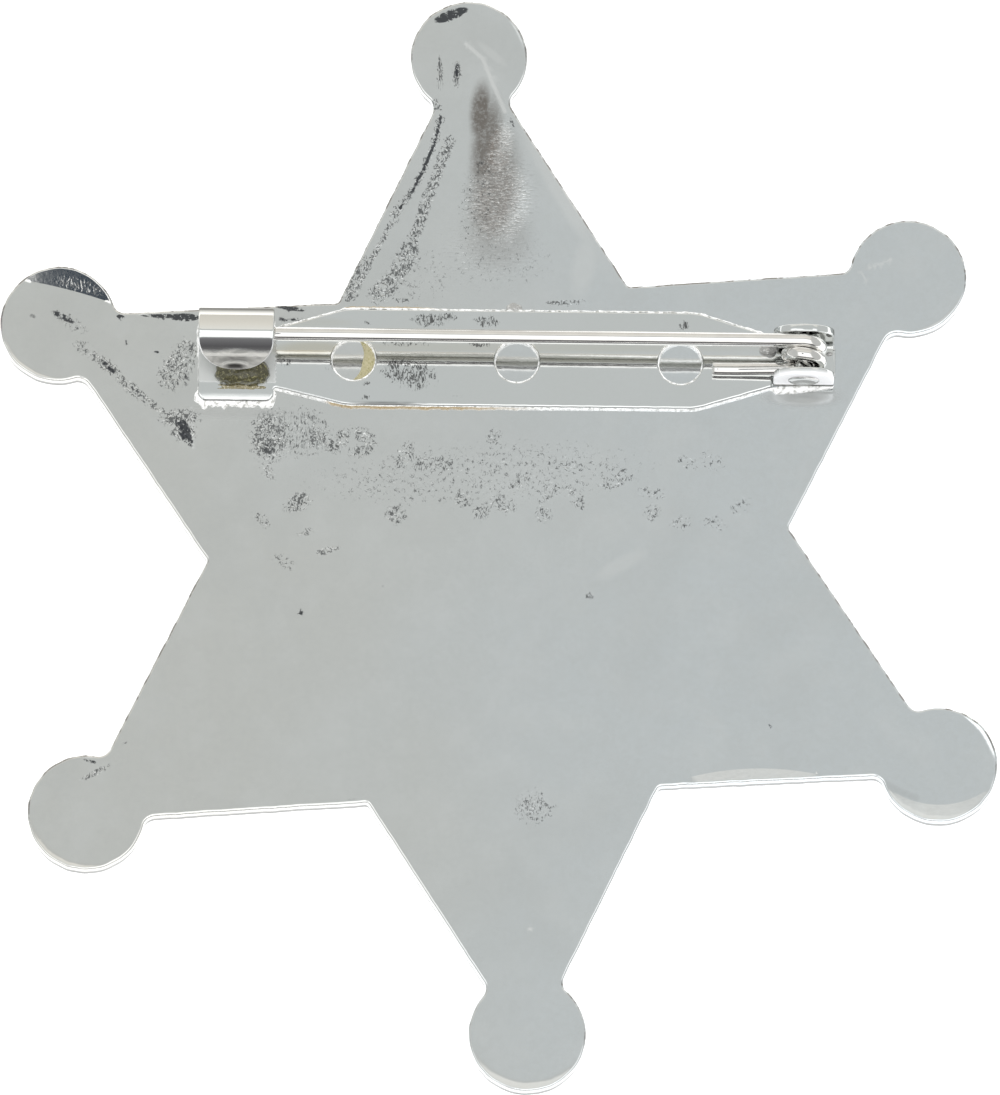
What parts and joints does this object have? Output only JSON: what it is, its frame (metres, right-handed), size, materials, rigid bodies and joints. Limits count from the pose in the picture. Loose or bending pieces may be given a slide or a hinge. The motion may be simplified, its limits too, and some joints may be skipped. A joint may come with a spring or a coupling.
{
  "type": "sheriff star badge",
  "caption": "Flat star badge with domed ball tips, a pin bar bonded across its back, a rolled catch and a hinged pin wire.",
  "frame": {"origin": "centre of the star, on the surface that the badge lies on with its front down", "axes": "+Z out of the badge's back, +Y from the centre towards the top arm and square to the pin bar, +X along the pin bar from the catch to the hinge"},
  "size_m": [0.0598, 0.0668, 0.0067],
  "materials": {
    "star_plating": "bright nickel plate, worn and speckled",
    "bar_plating": "bright nickel plate",
    "rivet_steel": "bright",
    "pin_wire": "drawn and plated"
  },
  "bodies": {
    "badge": {"star": "star_plating", "pin_bar": "bar_plating", "rivet": "rivet_steel"},
    "pin": {"pin": "pin_wire"}
  },
  "joints": [
    {"name": "pin_hinge", "type": "hinge", "parent": "badge", "child": "pin", "pos_m": [0.0181, 0.0113, 0.00478], "axis": [0, 1, 0], "range_deg": [0, 90]}
  ]
}
